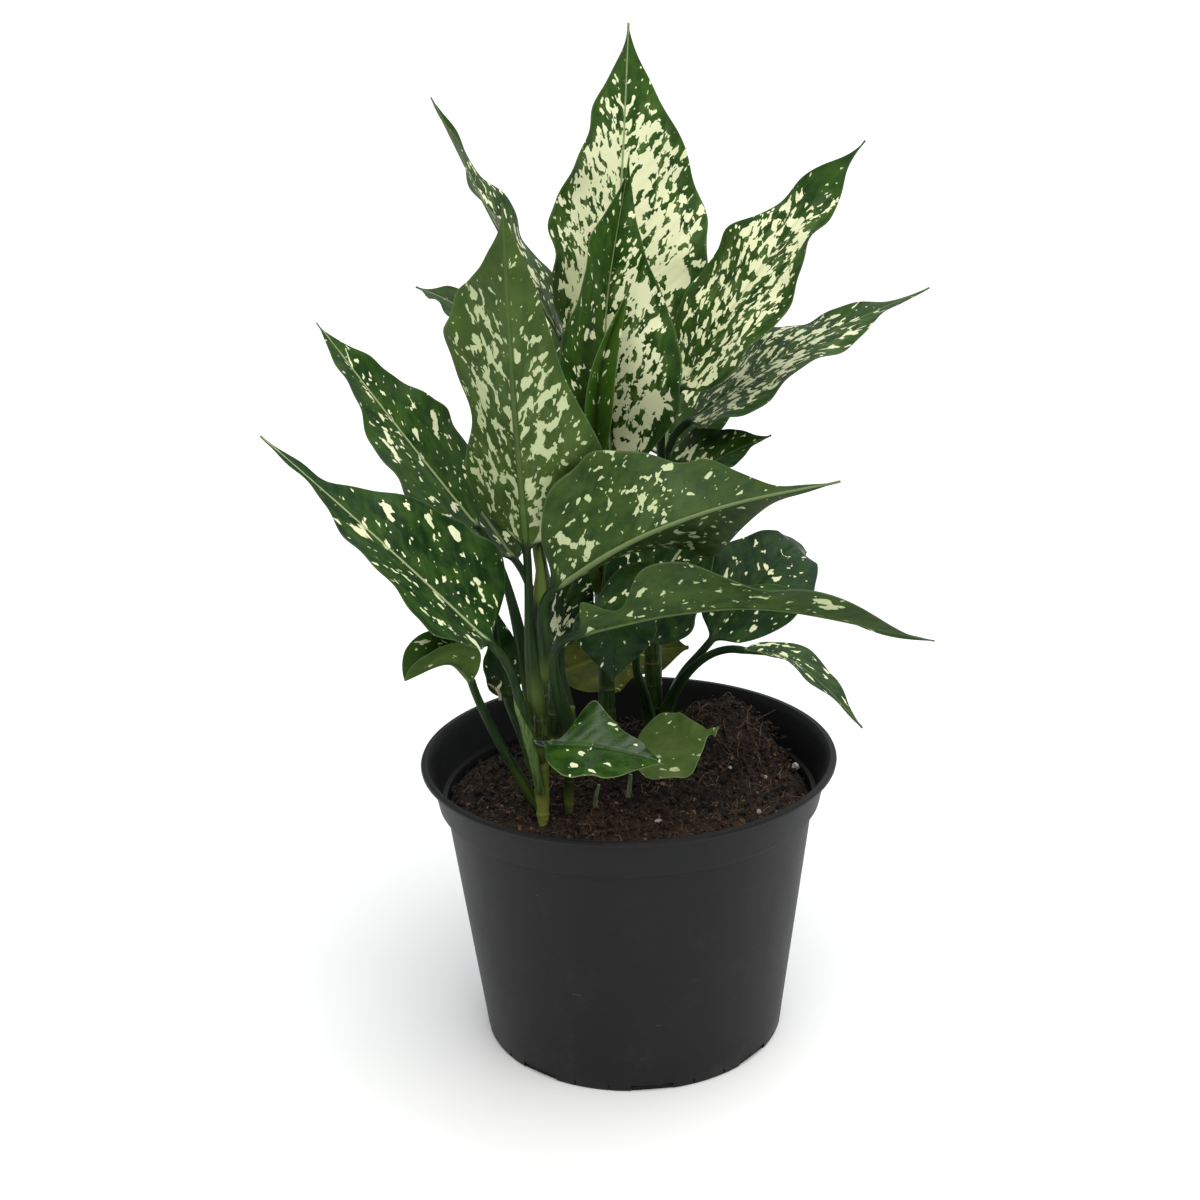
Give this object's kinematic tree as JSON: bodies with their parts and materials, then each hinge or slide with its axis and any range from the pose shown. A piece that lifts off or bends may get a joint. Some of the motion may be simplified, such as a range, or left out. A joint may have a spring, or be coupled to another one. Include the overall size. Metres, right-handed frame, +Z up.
{
  "type": "potted chinese evergreen",
  "caption": "Upright foliage plant with pointed green leaves splashed with cream, on short canes in a filled round tapered black nursery pot.",
  "frame": {"origin": "centre of the pot's underside, on the surface that the pot stands on", "axes": "+Z up out of the pot; the side of the plant in the picture faces -Y, and +X is its right"},
  "size_m": [0.3135, 0.2681, 0.5031],
  "materials": {
    "plastic": "matt charcoal-black moulded plastic",
    "peat": "crumbly brown peat",
    "cane": "smooth green stem with pale scars",
    "leaf": "satin leaf, dark green with cream blotches",
    "old_leaf": "satin leaf, yellowed olive green"
  },
  "bodies": {
    "root": {"cane_back": "cane", "cane_front": "cane", "cane_middle": "cane", "cane_rear": "cane", "cane_side": "cane", "leaf_arching": "leaf", "leaf_back_left": "leaf", "leaf_back_low_left": "leaf", "leaf_back_low_right": "leaf", "leaf_back_right": "leaf", "leaf_centre": "leaf", "leaf_drooping": "leaf", "leaf_far_left": "leaf", "leaf_front_tall": "leaf", "leaf_inner_dark": "leaf", "leaf_inner_left": "leaf", "leaf_inner_right": "leaf", "leaf_inner_spotted": "leaf", "leaf_left": "leaf", "leaf_left_upper": "leaf", "leaf_low_front": "leaf", "leaf_low_left": "leaf", "leaf_low_right": "leaf", "leaf_old": "old_leaf", "leaf_right": "leaf", "leaf_right_long": "leaf", "leaf_right_round": "leaf", "leaf_small_right": "leaf", "leaf_spear": "leaf", "leaf_top": "leaf", "leaf_upper_left": "leaf", "leaf_upper_right": "leaf", "pot": "plastic", "soil": "peat"}
  },
  "joints": []
}
